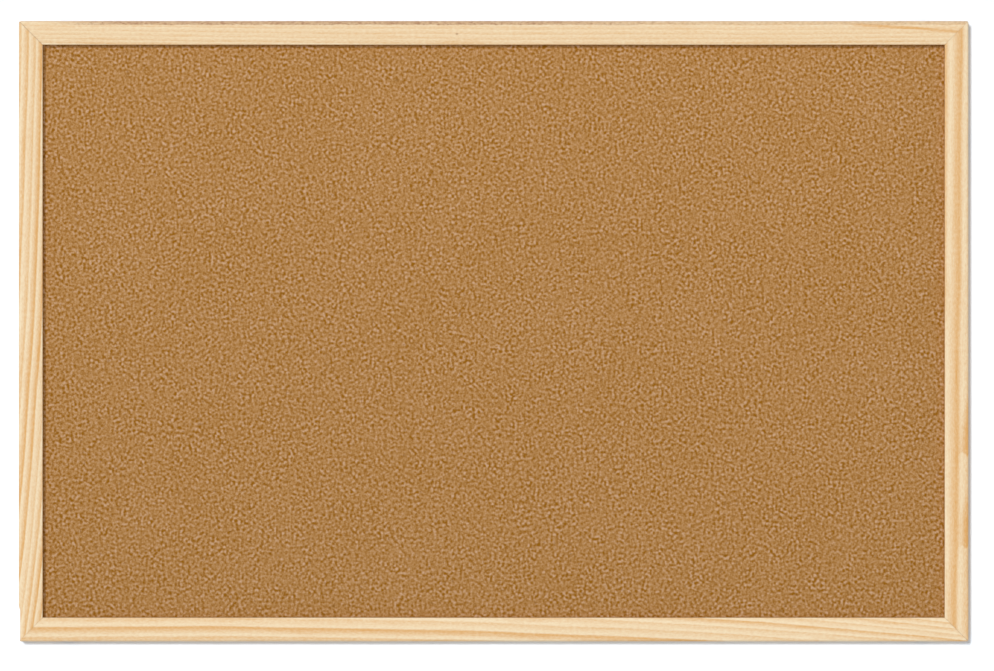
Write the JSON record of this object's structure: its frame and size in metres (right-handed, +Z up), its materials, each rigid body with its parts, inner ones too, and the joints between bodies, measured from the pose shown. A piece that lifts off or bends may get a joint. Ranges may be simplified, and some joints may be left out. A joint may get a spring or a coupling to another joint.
{
  "type": "pin board",
  "caption": "Wall-hung cork pin board in a mitred pine frame, with a softboard core, a hardboard back and swinging D-ring hangers.",
  "frame": {"origin": "the middle of the wall plane, which the faces of the four bumpers touch", "axes": "+X to the right seen from the front, +Y into the wall, +Z up; the cork faces -Y"},
  "size_m": [0.6, 0.0215, 0.392],
  "materials": {
    "pine": "sanded bare pine with a satin surface",
    "cork": null,
    "softboard": "matte wood-fibre softboard",
    "hardboard": "brown hardboard, screen-textured side out",
    "steel": "bright spring steel",
    "plated_steel": "zinc-plated steel",
    "rubber": "matte black rubber"
  },
  "bodies": {
    "board": {"left_stile": "pine", "top_rail": "pine", "right_stile": "pine", "bottom_rail": "pine", "cork_sheet": "cork", "softboard_core": "softboard", "hardboard_backing": "hardboard", "top_left_wedge_nail_1": "steel", "top_left_wedge_nail_2": "steel", "top_right_wedge_nail_1": "steel", "top_right_wedge_nail_2": "steel", "bottom_right_wedge_nail_1": "steel", "bottom_right_wedge_nail_2": "steel", "bottom_left_wedge_nail_1": "steel", "bottom_left_wedge_nail_2": "steel", "left_stile_framers_point_1": "steel", "left_stile_framers_point_2": "steel", "right_stile_framers_point_1": "steel", "right_stile_framers_point_2": "steel", "top_rail_framers_point_1": "steel", "top_rail_framers_point_2": "steel", "top_rail_framers_point_3": "steel", "top_rail_framers_point_4": "steel", "bottom_rail_framers_point_1": "steel", "bottom_rail_framers_point_2": "steel", "bottom_rail_framers_point_3": "steel", "bottom_rail_framers_point_4": "steel", "left_hanger_strap": "plated_steel", "right_hanger_strap": "plated_steel", "left_hanger_screw": "plated_steel", "right_hanger_screw": "plated_steel", "top_left_bumper": "rubber", "top_right_bumper": "rubber", "bottom_left_bumper": "rubber", "bottom_right_bumper": "rubber"},
    "left_ring": {"left_hanging_ring": "plated_steel"},
    "right_ring": {"right_hanging_ring": "plated_steel"}
  },
  "joints": [
    {"name": "left_ring_swing", "type": "hinge", "parent": "board", "child": "left_ring", "pos_m": [-0.2935, -0.0017, 0.126], "axis": [1, 0, 0], "range_deg": [0, 180]},
    {"name": "right_ring_swing", "type": "hinge", "parent": "board", "child": "right_ring", "pos_m": [0.2935, -0.0017, 0.126], "axis": [1, 0, 0], "range_deg": [0, 180]}
  ]
}
